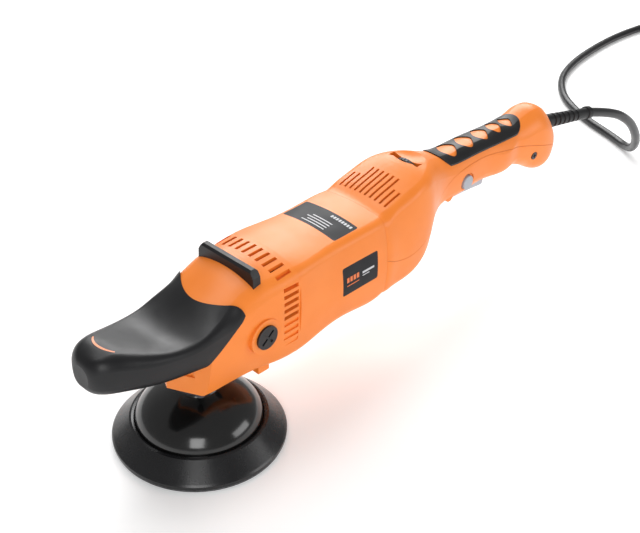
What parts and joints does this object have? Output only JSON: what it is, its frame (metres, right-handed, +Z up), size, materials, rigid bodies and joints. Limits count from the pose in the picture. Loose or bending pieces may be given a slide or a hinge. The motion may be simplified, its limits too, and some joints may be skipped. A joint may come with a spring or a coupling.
{
  "type": "rotary_polisher",
  "caption": "Corded rotary polisher with a long rear handle, rubber nose grip, bevel-gear head and a backing plate",
  "frame": {"origin": "centre of the pad face on the spindle axis", "axes": "+X back along the handle to the lead, +Y towards the side with the spindle lock, +Z up the spindle"},
  "size_m": [1.1565, 0.2581, 0.1435],
  "materials": {
    "orange_plastic": "moulded satin orange nylon",
    "black_rubber": "soft overmoulded grip",
    "black_plastic": "moulded black plastic",
    "gloss_black": "polished black plastic",
    "grey_plastic": "light grey plastic",
    "white_plastic": "insulating plastic",
    "foam": "dense backing foam",
    "steel": "ground steel",
    "dark_steel": "blackened steel",
    "aluminium": "die-cast",
    "copper": "enamelled copper",
    "carbon": "carbon",
    "label": "printed film",
    "cord_rubber": "cable sheath",
    "green_board": "printed circuit board",
    "hook_fabric": "hook-and-loop hooks"
  },
  "bodies": {
    "housing": {"gear_housing": "orange_plastic", "nose_core": "black_plastic", "nose_grip": "black_rubber", "nose_inlay": "grey_plastic", "hand_stop": "black_rubber", "side_plugs": "black_plastic", "bearing_box": "aluminium", "bearing_box_screws": "dark_steel", "spindle_lower_bearing": "steel", "spindle_upper_bearing": "steel", "armature_front_bearing": "steel", "armature_rear_bearing": "steel", "motor_housing": "orange_plastic", "housing_screws": "dark_steel", "stator": "dark_steel", "field_windings": "copper", "brush_holders": "white_plastic", "brushes": "carbon", "top_label": "label", "side_labels": "label", "rear_upper_shell": "orange_plastic", "rear_lower_shell": "orange_plastic", "rear_shell_screws": "dark_steel", "handle_grip": "black_rubber", "trigger_pin": "steel", "trigger_spring": "steel", "switch_body": "black_plastic", "speed_pot": "black_plastic", "control_board": "green_board", "cord_clamp": "black_plastic", "clamp_screw": "dark_steel", "cord_boot": "black_rubber", "mains_lead": "cord_rubber", "lead_coil": "cord_rubber", "mains_plug": "black_rubber", "plug_pins": "steel"},
    "spindle": {"spindle": "steel", "crown_gear": "dark_steel", "plate_dome": "gloss_black", "plate_pad": "foam", "hook_face": "hook_fabric", "plate_insert": "dark_steel"},
    "armature": {"armature_shaft": "steel", "bevel_pinion": "dark_steel", "armature_core": "dark_steel", "armature_winding": "copper", "commutator": "copper", "fan": "black_plastic"},
    "trigger": {"trigger": "grey_plastic"},
    "lock_button": {"lock_button": "grey_plastic"},
    "speed_dial": {"speed_dial": "black_plastic"},
    "spindle_lock": {"spindle_lock": "black_plastic"}
  },
  "joints": [
    {"name": "spindle_spin", "type": "hinge", "parent": "housing", "child": "spindle", "pos_m": [0, 0, 0], "axis": [0, 0, 1], "continuous": true},
    {"name": "armature_spin", "type": "hinge", "parent": "housing", "child": "armature", "pos_m": [0.05, 0, 0.094], "axis": [1, 0, 0], "continuous": true},
    {"name": "trigger_press", "type": "hinge", "parent": "housing", "child": "trigger", "pos_m": [0.251, 0, 0.101], "axis": [0, -1, 0], "range_deg": [0, 5], "stiffness_Nm_per_rad": 1.2, "springref_deg": -11.46, "deforming": ["trigger_spring"]},
    {"name": "lock_press", "type": "slide", "parent": "housing", "child": "lock_button", "axis": [0, 1, 0], "range_m": [0, 0.003], "stiffness_N_per_m": 300, "springref_m": -0.004},
    {"name": "spindle_lock_press", "type": "slide", "parent": "housing", "child": "spindle_lock", "axis": [0, -1, 0], "range_m": [0, 0.004], "stiffness_N_per_m": 400, "springref_m": -0.004},
    {"name": "speed_dial_turn", "type": "hinge", "parent": "housing", "child": "speed_dial", "pos_m": [0.2125, 0, 0.1275], "axis": [1, 0, 0], "range_deg": [0, 270]}
  ],
  "couplings": [
    {"joint": "armature_spin", "follows": "spindle_spin", "ratio": 4}
  ]
}
